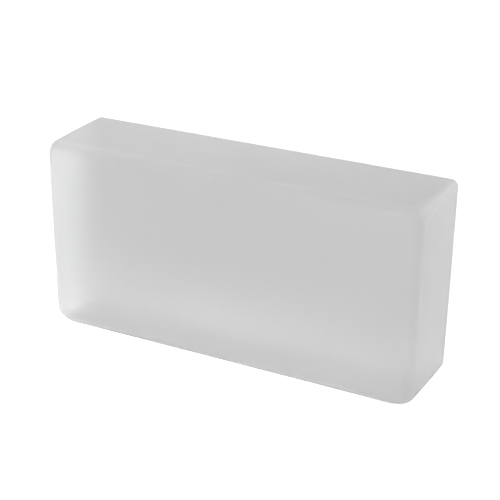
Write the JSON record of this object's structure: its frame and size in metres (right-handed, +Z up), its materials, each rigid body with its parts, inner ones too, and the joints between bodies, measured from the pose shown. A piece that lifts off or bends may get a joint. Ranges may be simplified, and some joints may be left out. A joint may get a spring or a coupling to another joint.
{
  "type": "solid glass block",
  "caption": "Solid satin-finished glass block in brick format, standing on its long bed face, with flat beds and ends, a rolled front edge and rounded corners.",
  "frame": {"origin": "middle of the long bed face that the block stands on", "axes": "+X along the length, +Y through the thickness from the front face to the back face, +Z up"},
  "size_m": [0.2, 0.05, 0.1],
  "materials": {
    "satin_glass": "satin-etched on every face"
  },
  "bodies": {
    "root": {"glass_block": "satin_glass"}
  },
  "joints": []
}
